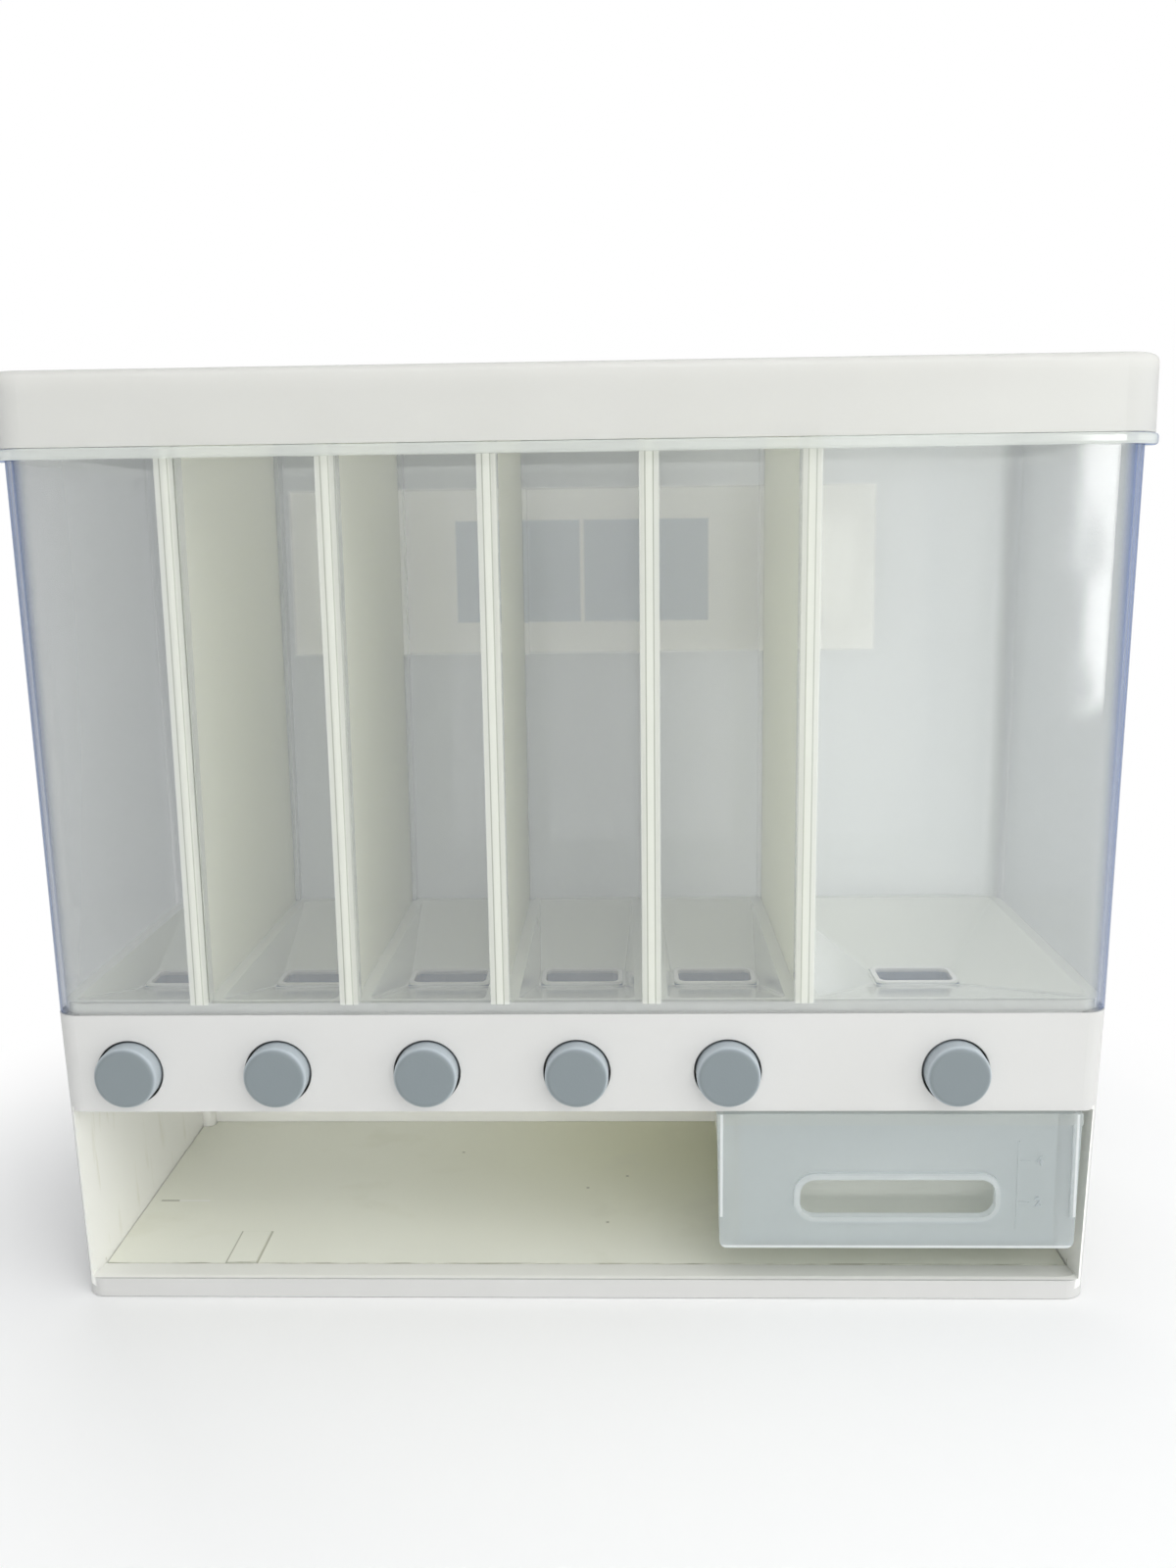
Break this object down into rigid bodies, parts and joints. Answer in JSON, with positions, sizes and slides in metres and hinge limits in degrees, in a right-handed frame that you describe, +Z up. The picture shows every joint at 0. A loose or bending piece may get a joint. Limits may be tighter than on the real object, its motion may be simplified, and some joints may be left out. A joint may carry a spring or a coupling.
{
  "type": "dry food dispenser",
  "caption": "Box-shaped dry food dispenser with a lift-off lid, clear divided container, push-button gates over an open bay, pull-out measuring cup and a wall plate.",
  "frame": {"origin": "middle of the base's underside", "axes": "+Z up, -Y towards the user at the button panel, +X to the user's right"},
  "size_m": [0.422, 0.1698, 0.3596],
  "materials": {
    "milky_lid": "moulded polypropylene, satin gloss",
    "silicone": "soft white silicone",
    "clear_box": "clear moulded plastic, slightly hazy",
    "base_white": "moulded ABS, satin gloss",
    "inner_white": "moulded plastic",
    "divider_ivory": "moulded polypropylene, ivory white",
    "button_grey": "fine matt moulded ABS",
    "spring_steel": "drawn wire",
    "screw_steel": "zinc plated",
    "frosted_cup": "frosted translucent polypropylene",
    "plate_white": "moulded ABS",
    "foam_grey": "grey adhesive foam"
  },
  "bodies": {
    "base": {"base_frame": "base_white", "base_floor": "base_white", "valve_deck": "inner_white", "deck_screws": "screw_steel", "container": "clear_box", "hopper_floor": "clear_box", "wall_plate": "plate_white", "wall_pad": "foam_grey", "divider_1": "divider_ivory", "divider_2": "divider_ivory", "divider_3": "divider_ivory", "divider_4": "divider_ivory", "divider_5": "divider_ivory", "spring_1": "spring_steel", "spring_2": "spring_steel", "spring_3": "spring_steel", "spring_4": "spring_steel", "spring_5": "spring_steel", "spring_6": "spring_steel"},
    "lid": {"lid": "milky_lid", "lid_seal": "silicone"},
    "cup": {"measuring_cup": "frosted_cup"},
    "button_1": {"button_1": "button_grey", "gate_1": "inner_white"},
    "button_2": {"button_2": "button_grey", "gate_2": "inner_white"},
    "button_3": {"button_3": "button_grey", "gate_3": "inner_white"},
    "button_4": {"button_4": "button_grey", "gate_4": "inner_white"},
    "button_5": {"button_5": "button_grey", "gate_5": "inner_white"},
    "button_6": {"button_6": "button_grey", "gate_6": "inner_white"}
  },
  "joints": [
    {"name": "press_1", "type": "slide", "parent": "base", "child": "button_1", "axis": [0, 1, 0], "range_m": [0, 0.01], "stiffness_N_per_m": 300, "springref_m": -0.006, "deforming": ["spring_1"]},
    {"name": "press_2", "type": "slide", "parent": "base", "child": "button_2", "axis": [0, 1, 0], "range_m": [0, 0.01], "stiffness_N_per_m": 300, "springref_m": -0.006, "deforming": ["spring_2"]},
    {"name": "press_3", "type": "slide", "parent": "base", "child": "button_3", "axis": [0, 1, 0], "range_m": [0, 0.01], "stiffness_N_per_m": 300, "springref_m": -0.006, "deforming": ["spring_3"]},
    {"name": "press_4", "type": "slide", "parent": "base", "child": "button_4", "axis": [0, 1, 0], "range_m": [0, 0.01], "stiffness_N_per_m": 300, "springref_m": -0.006, "deforming": ["spring_4"]},
    {"name": "press_5", "type": "slide", "parent": "base", "child": "button_5", "axis": [0, 1, 0], "range_m": [0, 0.01], "stiffness_N_per_m": 300, "springref_m": -0.006, "deforming": ["spring_5"]},
    {"name": "press_6", "type": "slide", "parent": "base", "child": "button_6", "axis": [0, 1, 0], "range_m": [0, 0.01], "stiffness_N_per_m": 300, "springref_m": -0.006, "deforming": ["spring_6"]},
    {"name": "lid_lift", "type": "slide", "parent": "base", "child": "lid", "axis": [0, 0, 1], "range_m": [0, 0.1]},
    {"name": "cup_pull", "type": "slide", "parent": "base", "child": "cup", "axis": [0, -1, 0], "range_m": [0, 0.12]}
  ]
}
